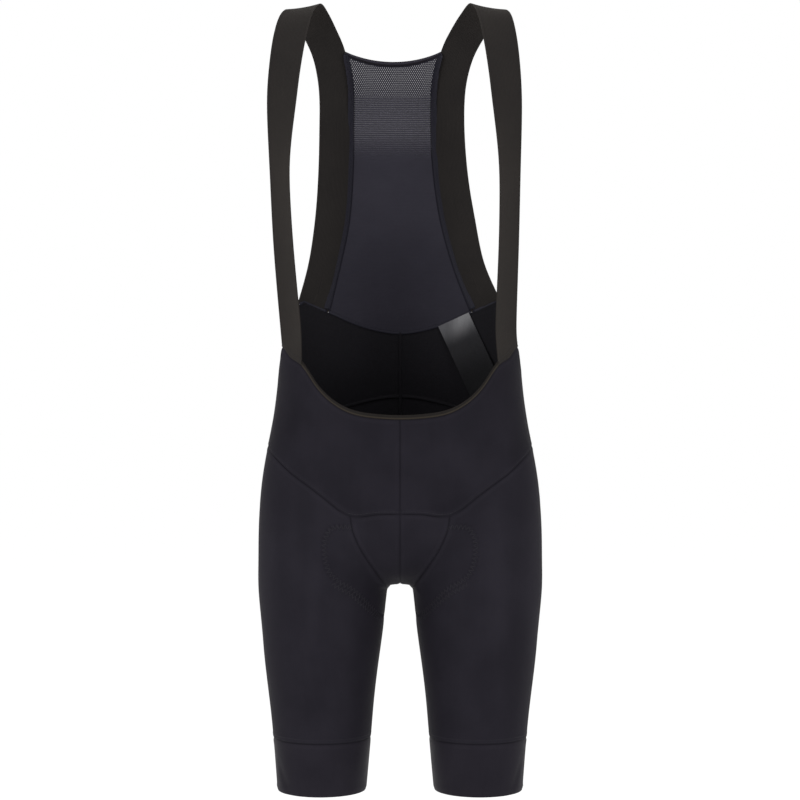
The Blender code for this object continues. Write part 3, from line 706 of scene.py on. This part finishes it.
def whole_solid(node, name, finish, lift, rounded=0.0, edge_of=(), sunk=0.0):
    """A piece with its solid's whole closed form, its edges rounded, subdivided. It keeps how
    far each point is from the edge of the cloth that it closes, and can be sunk with that."""
    piece = piece_of(in_quads(solid_form(node)), name)
    if rounded:
        soft = piece.modifiers.new("rounded", "BEVEL")
        soft.width, soft.segments, soft.limit_method = rounded, 2, "ANGLE"
        soft.angle_limit = math.radians(50)
        plain_mesh(piece)
    smooth_through(piece, 2)
    mesh = plain_mesh(piece)
    points = numbers(mesh.vertices, "co", 3)
    if edge_of:
        rings = [spaced(ring, ring=True) for cloth in edge_of for ring, _ in CLOTH[cloth]["rings"]]
        keep_numbers(mesh, "from_edge", distances(points, rings))
    if sunk:
        nearest = CLOTH[edge_of[0]]["surface"].find_nearest
        points = points - sunk * np.array([nearest(point)[1] for point in points])
        middle = points[:, 0].mean()
        points[:, 0] = middle + 1.035 * (points[:, 0] - middle)  # its ends go under the straps
    points = points + numbers(mesh.vertices, "normal", 3) * lift(mesh, points)[:, None]
    mesh.vertices.foreach_set("co", points.ravel())
    mesh.update()
    mesh.shade_smooth()
    mesh.materials.clear()
    mesh.materials.append(finish)
    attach(piece, "root")
    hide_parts(node)
    return piece


NECK_TAPE = folded_tape("neck_tape", (0.0035, 0.0030, 0.0060, 1), (0.020, 0.0190, 0.0280, 1),
                        0.0016, 0.0036)
FRONT_TAPE = folded_tape("front_tape", (0.0040, 0.0034, 0.0030, 1), (0.017, 0.0136, 0.0095, 1),
                         0.0004, 0.0016)
TAPE_SWELL = 0.0004  # a folded tape is thicker than its solid

for node, name, length, finish, edge_of, sunk in (
    ("neck_binding", "neck_tape", 0.090, NECK_TAPE, ("back_net",), PROUD),
    ("front_tape", "front_edge_tape", 0.275, FRONT_TAPE, ("belly_panel_left", "belly_panel_right"), 0.0),
):
    whole_solid(node, name, finish, rounded=0.0007, edge_of=edge_of, sunk=sunk,
                         lift=lambda mesh, points: np.full(len(points), TAPE_SWELL))


# CARE LABEL
# A satin ribbon, 44 mm wide, sewn by its slanting top edge inside the small of the back. It hangs free
# below that edge, shines where it bends, with a painted highlight in its colour towards the top, and is
# left blank.

def satin_ribbon():
    satin = Finish("satin_ribbon", Specular_IOR_Level=0.05, Roughness=0.32, Coat_Roughness=0.22)
    threads, picks = satin.across.wave(0.0006), satin.along.wave(0.0009)
    fine = satin.noise(satin.place, 0.003, 3.0)
    streaks = satin.noise(satin.flat.times((1.0, 0.2, 1.0)), 0.012)
    # Painted highlight: the colour grows lighter towards the slanting top and brightest where it bends.
    drop = satin.height + SHOULDER_HEIGHT - 0.42 * satin.x
    shine = drop.eased(0.492, 0.524) * streaks.eased(0.2, 0.6, 0.75, 1.0)
    shade = (0.05 * fine + 0.11 * drop.eased(0.445, 0.497) + 0.55 * shine).least(1.0).most(0.0)
    satin.dress(Base_Color=shade.colours((0.0048, 0.0047, 0.0054, 1), (0.074, 0.073, 0.081, 1)),
                Coat_Weight=0.3 * shine)
    satin.relief(0.004 * threads + 0.003 * picks - 0.5 * shine, 0.012, 1.0)
    return satin.material


LABEL_WALL = 0.0006
sewn_cloth("care_label", "care_label_ribbon", LABEL_WALL, 3, (satin_ribbon(),),
           lift=None, folds=False)


# SEAT PAD
# A shaped foam pad with a brushed and pierced knit cover, sewn inside the crotch by a zigzag
# round its edge. Channels are pressed into its inner face, so that it bends with the body.

PAD_CHANNELS = (  # x at the front, middle and back in mm, half width, depth
    (0, 0, 0, 3.2, 1.5), (22, 15, 30, 2.8, 1.2), (-22, -15, -30, 2.8, 1.2),
    (52, 27, 56, 2.6, 0.9), (-52, -27, -56, 2.6, 0.9),
)


def pad_channels(mesh, points):
    """Grooves pressed into the pad's inner face, from its front to its back."""
    x, y, _ = points.T * 1000
    share = np.clip((y + 95) / 200, 0, 1)  # 0 at the pad's front and 1 at its back
    middle = np.array((0, 5, 330 - 1000 * SHOULDER_HEIGHT)) / 1000  # round which the pad bends
    inward = (numbers(mesh.vertices, "normal", 3) * (middle - points)).sum(1) > 0
    run = 0.105 * np.arctan2(points[:, 1] - middle[1], middle[2] - points[:, 2])
    keep_numbers(mesh, "pad_run", run)
    up = np.zeros(len(points))
    for front, centre, back, half, depth in PAD_CHANNELS:
        line = (front * (1 - share) * (1 - 2 * share) + centre * 4 * share * (1 - share)
                - back * share * (1 - 2 * share))
        up -= depth / 1000 * np.exp(-((x - line) / half) ** 2)
    faded = np.clip(np.minimum(run - run.min(), run.max() - run) / 0.018, 0, 1)  # at both ends
    return up * inward * faded


def brushed_cover():
    cover = Finish("brushed_cover", Specular_IOR_Level=0.10, Roughness=0.85, Sheen_Weight=0.10)
    fine = cover.noise(cover.place, 0.001)
    run = cover.attribute("pad_run")
    one, two = ((way / 0.0055) % 1.0 - 0.5 for way in (cover.x, run))
    pierced = (one * one + two * two).eased(0.030, 0.055, 1.0, 0.0)
    shade = (fine - 0.7 * pierced).least(1.0).most(0.0)
    cover.dress(Base_Color=shade.colours((0.0035, 0.0035, 0.0045, 1), (0.0130, 0.0128, 0.0155, 1)))
    cover.relief(0.4 * fine - pierced, 0.0006, 0.7)
    return cover.material


whole_solid("seat_pad", "seat_cushion", brushed_cover(), pad_channels)


# SEWING
# Dark polyester thread: overlocked allowances inside every seam, and rows of stitches beside
# the seams and across the straps. A wide zigzag holds the pad and shows on the thighs.

SEAM_REACH = 0.0021  # two edges this near each other are sewn together
FAR_OFF = 0.03  # and an edge is sewn to itself only that far along it
SEAM_STEP = 0.0025
ALLOWANCE_HALF, ALLOWANCE_THICK, ALLOWANCE_ROUND = 0.0016, 0.0006, 0.0004


def sideways(points, facing):
    """For each point of a line on the cloth, which way lies to its side."""
    return unit(np.cross(facing, unit(np.gradient(points, axis=0))))


def meets_itself(ring):
    """Which points of a closed edge lie against a part of it that is far off along it."""
    run = np.cumsum(np.linalg.norm(np.roll(ring, -1, 0) - ring, axis=1))
    near, close = tree_of(ring), []
    for i, point in enumerate(ring):
        gap = np.abs(run[i] - run[[j for _, j, _ in near.find_range(point, SEAM_REACH)]])
        close.append((np.minimum(gap, run[-1] - gap) > FAR_OFF).any())
    return np.array(close)


def shared_seam(first, second):
    """The line where two pieces' edges meet, with the way that the cloth faces. A piece
    given twice is one whose own two edges meet, as a leg's inseam does."""
    others = [spaced(ring, ring=True) for ring, _ in CLOTH[second]["rings"]]
    best = None
    for ring, facing in CLOTH[first]["rings"]:
        close = meets_itself(ring) if first == second else distances(ring, others) < SEAM_REACH
        if close.all():
            best = np.vstack([ring, ring[:1]]), np.vstack([facing, facing[:1]])
        if close.all() or not close.any():
            continue
        # The edge is walked from where a run begins, so that none is cut in two.
        start = next(i for i in range(len(ring)) if close[i] and not close[i - 1])
        runs = [[]]
        for i in np.arange(start, start + len(ring)) % len(ring):
            if close[i]:
                runs[-1].append(i)
            elif runs[-1]:
                runs.append([])
        longest = max(runs, key=len)
        if len(longest) > 3 and (best is None or len(longest) > len(best[0])):
            best = ring[longest], facing[longest]
    return closely(best, SEAM_STEP)


def closely(seam, step=0.0012):
    """A line with the way that it faces, at even steps."""
    line = spaced(np.column_stack(seam), step)
    return line[:, :3], unit(line[:, 3:])


def on_cloth(name, points, lift):
    """The nearest places on a piece's outer face, lifted off it, and the way they face."""
    found = [CLOTH[name]["surface"].find_nearest(point) for point in points]
    return np.array([f[0] + f[1] * lift for f in found]), np.array([f[1] for f in found])


def side_of(seam, name):
    """On which side of a seam one of its two pieces lies, as 1 or -1."""
    middle = len(seam[0]) // 2
    aside = sideways(*seam)[middle] * 0.004
    away = [CLOTH[name]["surface"].find_nearest(seam[0][middle] + way * aside)[3] for way in (1, -1)]
    return 1 if away[0] < away[1] else -1


def beside_seam(seam, name, distance, lift=0.0001):
    """A line that far from a seam, on one of its two pieces."""
    return on_cloth(name, seam[0] + side_of(seam, name) * distance * sideways(*seam), lift)


def stitch_tree():
    """Threads laid along a line on the cloth, each turned to one side and the other in turn."""
    tree = bpy.data.node_groups.new("stitch_row", "GeometryNodeTree")
    face = tree.interface
    face.new_socket("Line", in_out="INPUT", socket_type="NodeSocketGeometry")
    for name in ("Pitch", "Length", "Thread", "Swing"):
        face.new_socket(name, in_out="INPUT", socket_type="NodeSocketFloat")
    face.new_socket("Finish", in_out="INPUT", socket_type="NodeSocketMaterial")
    face.new_socket("Stitches", in_out="OUTPUT", socket_type="NodeSocketGeometry")

    def node(kind, inputs=(), **settings):
        made = tree.nodes.new(kind)
        for key, value in settings.items():
            setattr(made, key, value)
        for key, value in dict(inputs).items():
            if isinstance(value, bpy.types.NodeSocket):
                tree.links.new(value, made.inputs[key])
            else:
                made.inputs[key].default_value = value
        return made

    given = node("NodeGroupInput").outputs
    curve = node("GeometryNodeMeshToCurve", {0: given["Line"]})
    even = node("GeometryNodeResampleCurve", {"Curve": curve.outputs[0], "Length": given["Pitch"]},
                mode="LENGTH")
    half = node("ShaderNodeMath", {0: given["Thread"], 1: 0.7}, operation="MULTIPLY")
    size = node("ShaderNodeCombineXYZ", {0: given["Length"], 1: given["Thread"], 2: half.outputs[0]})
    bead = node("GeometryNodeMeshUVSphere", {"Segments": 6, "Rings": 4, "Radius": 0.5})
    turned = node("GeometryNodeTransform", {"Geometry": bead.outputs[0],
                                            "Rotation": (0.0, math.pi / 2, 0.0)})
    thread = node("GeometryNodeTransform", {"Geometry": turned.outputs[0], "Scale": size.outputs[0]})
    tangent = node("GeometryNodeInputTangent")
    facing = node("GeometryNodeInputNamedAttribute", {"Name": "facing"}, data_type="FLOAT_VECTOR")
    laid = node("FunctionNodeAlignRotationToVector", {"Vector": tangent.outputs[0]}, axis="X")
    upright = node("FunctionNodeAlignRotationToVector", {"Rotation": laid.outputs[0],
                   "Vector": facing.outputs[0]}, axis="Z", pivot_axis="X")
    index = node("GeometryNodeInputIndex")
    odd = node("ShaderNodeMath", {0: index.outputs[0], 1: 2.0}, operation="FLOORED_MODULO")
    sign = node("ShaderNodeMath", {0: odd.outputs[0], 1: -2.0, 2: 1.0}, operation="MULTIPLY_ADD")
    swing = node("ShaderNodeMath", {0: sign.outputs[0], 1: given["Swing"]}, operation="MULTIPLY")
    euler = node("ShaderNodeCombineXYZ", {2: swing.outputs[0]})
    turn = node("FunctionNodeRotateRotation", {"Rotation": upright.outputs[0],
                "Rotate By": euler.outputs[0]}, rotation_space="LOCAL")
    rows = node("GeometryNodeInstanceOnPoints", {"Points": even.outputs[0],
                "Instance": thread.outputs[0], "Rotation": turn.outputs[0]})
    real = node("GeometryNodeRealizeInstances", {0: rows.outputs[0]})
    dressed = node("GeometryNodeSetMaterial", {"Geometry": real.outputs[0], "Material": given["Finish"]})
    tree.links.new(dressed.outputs[0], node("NodeGroupOutput").inputs[0])
    return tree


STITCHES = stitch_tree()


def stitched(name, rows, finish, pitch, length, thread, swing=0.0):
    """One mesh of stitches along rows, each a line of points and the way that they face."""
    mesh = bpy.data.meshes.new(name)
    points, facing = (np.vstack(part) for part in zip(*rows))
    edges, first = [], 0
    for row in rows:
        edges += [(first + i, first + i + 1) for i in range(len(row[0]) - 1)]
        first += len(row[0])
    mesh.from_pydata(points.tolist(), edges, [])
    mesh.attributes.new("facing", "FLOAT_VECTOR", "POINT").data.foreach_set("vector", facing.ravel())
    piece = in_scene(name, mesh)
    sewing = piece.modifiers.new("sewing", "NODES")
    sewing.node_group = STITCHES
    values = {"Pitch": pitch, "Length": length, "Thread": thread, "Swing": swing, "Finish": finish}
    for item in STITCHES.interface.items_tree:
        if item.name in values:
            sewing[item.identifier] = values[item.name]
    plain_mesh(piece).shade_smooth()
    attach(piece, "root")


def thread_finish(name, first, second):
    thread = Finish(name, Specular_IOR_Level=0.15, Roughness=0.55)
    fine = thread.noise(thread.place, 0.0008, 1.0)
    thread.dress(Base_Color=fine.colours(first, second))
    return thread.material


THREAD = thread_finish("dark_thread", (0.0060, 0.0055, 0.0075, 1), (0.0120, 0.0110, 0.0140, 1))
PAD_THREAD = thread_finish("pad_thread", (0.0095, 0.0088, 0.0115, 1), (0.0185, 0.0172, 0.0215, 1))
PALE_THREAD = thread_finish("grey_thread", (0.0130, 0.0120, 0.0150, 1), (0.0240, 0.0225, 0.0270, 1))
NAVY_THREAD = thread_finish("navy_thread", (0.0028, 0.0026, 0.0062, 1), (0.0074, 0.0067, 0.0132, 1))

SEWN = {"centre_front": ("belly_panel_left", "belly_panel_right"),
        "pouch_middle": ("pouch_left", "pouch_right"),
        "centre_back": ("back_yoke_left", "back_yoke_right"),
        "seat_middle": ("leg_wrap_left", "leg_wrap_right")}
for side in SIDES:
    SEWN |= {f"pouch_top_{side}": (f"belly_panel_{side}", f"pouch_{side}"),
             f"groin_{side}": (f"belly_panel_{side}", f"leg_wrap_{side}"),
             f"side_{side}": (f"belly_panel_{side}", f"back_yoke_{side}"),
             f"pouch_side_{side}": (f"pouch_{side}", f"leg_wrap_{side}"),
             f"seat_arch_{side}": (f"back_yoke_{side}", f"leg_wrap_{side}"),
             f"hem_{side}": (f"hem_band_{side}", f"leg_wrap_{side}"),
             f"inseam_{side}": (f"leg_wrap_{side}", f"leg_wrap_{side}"),
             f"strap_front_{side}": (f"shoulder_strap_{side}", f"belly_panel_{side}"),
             f"strap_back_{side}": (f"shoulder_strap_{side}", f"back_yoke_{side}"),
             f"net_foot_{side}": ("back_net", f"back_yoke_{side}"),
             f"net_edge_{side}": ("back_net", f"shoulder_strap_{side}")}
SEAMS = {name: shared_seam(*pair) for name, pair in SEWN.items()}


def strip(form, points, facing, depth, left, right, waves=0.0):
    """Adds a closed strip of cloth behind a line. Its wider side is the wavy one."""
    sides, run = sideways(points, facing), run_along(points)
    wave = waves * (np.sin(run / 0.0021) + 0.6 * np.sin(run / 0.0057 + 1.3))
    rings = []
    for i, point in enumerate(points):
        a, b = (-left - wave[i], right) if left > right else (-left, right + wave[i])
        c, d = a + ALLOWANCE_ROUND, b - ALLOWANCE_ROUND
        section = (a, 0), (c, 1), (d, 1), (b, 0), (d, -1), (c, -1)
        rings.append([form.verts.new(point + sides[i] * across
                                     - facing[i] * (depth - out * ALLOWANCE_THICK / 2))
                      for across, out in section])
    for one, two in zip(rings, rings[1:]):
        for k in range(6):
            form.faces.new((one[k], one[(k + 1) % 6], two[(k + 1) % 6], two[k]))
    form.faces.new(rings[0][::-1])
    form.faces.new(rings[-1])


def strips(name, parts, finish):
    """One mesh of strips."""
    form = bmesh.new()
    for part in parts:
        strip(form, *part)
    bmesh.ops.recalc_face_normals(form, faces=form.faces)
    piece = piece_of(form, name)
    piece.data.shade_smooth()
    piece.data.materials.append(finish)
    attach(piece, "root")


ALLOWANCE_DEPTH = KNIT_WALL + 0.0005
strips("seam_allowances",
       [(*seam, ALLOWANCE_DEPTH, ALLOWANCE_HALF, ALLOWANCE_HALF) for name, seam in SEAMS.items()
        if not name.startswith(("net", "strap_back"))], INSIDE)

# The net's edges are overlocked on to the inside of the straps in a wide band of navy thread.
OVERLOCK_WIDTH, OVER_NET = 0.0074, 0.0006
FOOT_DEPTH = KNIT_WALL + 0.0006
bands, loops = [], []
for side in SIDES:
    foot = [part[1:-1] for part in SEAMS[f"strap_back_{side}"]]
    bands.append((*foot, FOOT_DEPTH, 0.0017, 0.0017, 0.0003))
    bands.append((*SEAMS[f"net_foot_{side}"], FOOT_DEPTH, 0.0016, 0.0016))
    seam = closely(SEAMS[f"net_edge_{side}"])
    upward = 1 if seam[0][-1, 2] > seam[0][0, 2] else -1
    seam = [part[::upward][3:] for part in seam]
    way = side_of(seam, f"shoulder_strap_{side}")
    bands.append((*seam, 0.0014, *(OVER_NET, OVERLOCK_WIDTH - OVER_NET)[::way], 0.0002))
    loops.append((seam[0] + sideways(*seam) * way * 0.0031 - seam[1] * 0.0018, -seam[1]))
strips("net_allowances", bands, NAVY_THREAD)
stitched("net_overlock", loops, NAVY_THREAD, pitch=0.0011, length=0.0070, thread=0.00042,
         swing=math.radians(76))

# Stitches: two needle rows over each hem seam, one row above the groin and pouch seams, and
# two across each end of the straps.
rows = [beside_seam(SEAMS[f"hem_{side}"], f"leg_wrap_{side}", distance)
        for side in SIDES for distance in (0.0022, 0.0052)]
stitched("hem_seam_stitches", rows, THREAD, pitch=0.0030, length=0.0024, thread=0.00045)
rows = [beside_seam(SEAMS[f"groin_{side}"], f"belly_panel_{side}", 0.0030) for side in SIDES]
stitched("groin_stitches", rows, THREAD, pitch=0.0028, length=0.0022, thread=0.00042)
rows = [beside_seam(SEAMS[f"pouch_top_{side}"], f"belly_panel_{side}", 0.0030, 0.00015) for side in SIDES]
stitched("pouch_top_stitches", rows, PALE_THREAD, pitch=0.0034, length=0.0024, thread=0.00050)
rows = [beside_seam(SEAMS[f"strap_{end}_{side}"], f"shoulder_strap_{side}", distance)
        for side in SIDES for end in ("front", "back") for distance in (0.0016, 0.0058)]
stitched("strap_end_stitches", rows, THREAD, pitch=0.0026, length=0.0020, thread=0.00050)

# The pad's zigzag. In front of the thigh it was gone over again, below the first row.
rows = [closely(on_cloth(f"leg_wrap_{side}", pad_edge(side), 0.00015), 0.0020) for side in SIDES]
for side, (points, facing) in zip(SIDES, rows[:2]):
    low = (points[:, 1] < -0.030) & (points[:, 2] < 0.250 - SHOULDER_HEIGHT)
    across = sideways(points[low], facing[low])
    down = -np.sign(across[:, 2:].mean())
    rows.append(on_cloth(f"leg_wrap_{side}", points[low] + down * across * 0.0062, 0.00015))
stitched("pad_zigzag", rows, PAD_THREAD, pitch=0.0025, length=0.0068, thread=0.00056,
         swing=math.radians(66))


# FLOOR, LIGHT AND CAMERA
# The white room of a product picture, with its floor far below the garment. Two tall softboxes
# stand at the sides and one hangs above, and the camera is 3 m away, level with the middle.

FLOOR_DROP = 0.42  # from the hems down to the floor
CAMERA_AWAY, CAMERA_HEIGHT = 3.0, 0.4545

white = Finish("pale_floor", Roughness=1.0, Specular_IOR_Level=0.0, Base_Color=(1, 1, 1, 1))
bpy.ops.mesh.primitive_circle_add(vertices=64, radius=60, fill_type="NGON",
                                  location=(0, 0, -SHOULDER_HEIGHT - FLOOR_DROP))
floor = bpy.context.object
floor.name = "pale_floor"
floor.data.materials.append(white.material)

world = bpy.data.worlds.new("white_room")
world.use_nodes = True
world.node_tree.nodes["Background"].inputs["Color"].default_value = (1, 1, 1, 1)
world.node_tree.nodes["Background"].inputs["Strength"].default_value = 1.0
bpy.context.scene.world = world
bpy.context.scene.view_settings.view_transform = "Standard"

# name, place, aimed at, width, height, power
for name, place, aim, width, height, power in (
    ("left_softbox", (-1.8, -1.8, 0.0), (0, 0, -0.55), 0.6, 1.8, 30),
    ("right_softbox", (1.9, -1.7, 0.0), (0, 0, -0.55), 0.6, 1.8, 24),
    ("top_softbox", (0.0, -1.0, 1.6), (0, 0, -0.5), 1.6, 1.0, 12),
):
    light = bpy.data.lights.new(name, "AREA")
    light.shape, light.size, light.size_y, light.energy = "RECTANGLE", width, height, power
    lamp = in_scene(name, light)
    lamp.location = place
    lamp.rotation_euler = (Vector(aim) - Vector(place)).to_track_quat("-Z", "Y").to_euler()

lens = bpy.data.cameras.new("camera")
lens.lens, lens.sensor_width = 115.38, 36.0
camera = in_scene("camera", lens)
camera.location = (0, -CAMERA_AWAY, CAMERA_HEIGHT - SHOULDER_HEIGHT)
camera.rotation_euler = (math.radians(90), 0, 0)
bpy.context.scene.camera = camera
